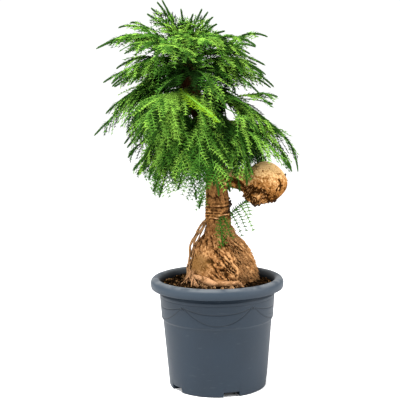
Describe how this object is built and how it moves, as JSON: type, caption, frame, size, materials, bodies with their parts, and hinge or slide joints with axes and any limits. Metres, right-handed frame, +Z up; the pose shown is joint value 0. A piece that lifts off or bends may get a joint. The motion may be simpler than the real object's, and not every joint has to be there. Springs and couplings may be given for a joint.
{
  "type": "hoop pine bonsai",
  "caption": "Potted hoop pine bonsai: swollen trunk foot and a side burl under a feathery crown of drooping needle sprays, in a round rolled-rim plastic nursery pot.",
  "frame": {"origin": "middle of the pot's flat underside, on the surface that the pot stands on", "axes": "+Z up the plant, -Y towards the viewer of the picture, +X to the right, where the burl is"},
  "size_m": [0.4624, 0.4158, 0.8571],
  "materials": {
    "pot": "matte slate blue-grey",
    "potting_mix": "loose damp crumbs and bark chips",
    "bark": "rough tan bark",
    "bough_bark": "thin green-brown bark",
    "needles": "satin green needles"
  },
  "bodies": {
    "root": {"pot": "pot", "potting_mix": "potting_mix", "trunk": "bark", "burl": "bark", "strap_root": "bark", "front_root": "bark", "bough_top_1": "bough_bark", "bough_top_2": "bough_bark", "bough_top_3": "bough_bark", "bough_top_4": "bough_bark", "bough_top_5": "bough_bark", "bough_top_6": "bough_bark", "bough_upper_1": "bough_bark", "bough_upper_2": "bough_bark", "bough_upper_3": "bough_bark", "bough_upper_4": "bough_bark", "bough_upper_5": "bough_bark", "bough_upper_6": "bough_bark", "bough_middle_1": "bough_bark", "bough_middle_2": "bough_bark", "bough_middle_3": "bough_bark", "bough_middle_4": "bough_bark", "bough_middle_5": "bough_bark", "bough_middle_6": "bough_bark", "bough_lower_1": "bough_bark", "bough_lower_2": "bough_bark", "bough_lower_3": "bough_bark", "bough_lower_4": "bough_bark", "bough_lower_5": "bough_bark", "bough_lower_6": "bough_bark", "bough_lower_7": "bough_bark", "needles_top_1": "needles", "needles_top_2": "needles", "needles_top_3": "needles", "needles_top_4": "needles", "needles_top_5": "needles", "needles_top_6": "needles", "needles_upper_1": "needles", "needles_upper_2": "needles", "needles_upper_3": "needles", "needles_upper_4": "needles", "needles_upper_5": "needles", "needles_upper_6": "needles", "needles_middle_1": "needles", "needles_middle_2": "needles", "needles_middle_3": "needles", "needles_middle_4": "needles", "needles_middle_5": "needles", "needles_middle_6": "needles", "needles_lower_1": "needles", "needles_lower_2": "needles", "needles_lower_3": "needles", "needles_lower_4": "needles", "needles_lower_5": "needles", "needles_lower_6": "needles", "needles_lower_7": "needles", "needles_leader": "needles", "needles_left_shoot": "needles", "needles_right_shoot": "needles", "needles_low_shoot": "needles"}
  },
  "joints": []
}
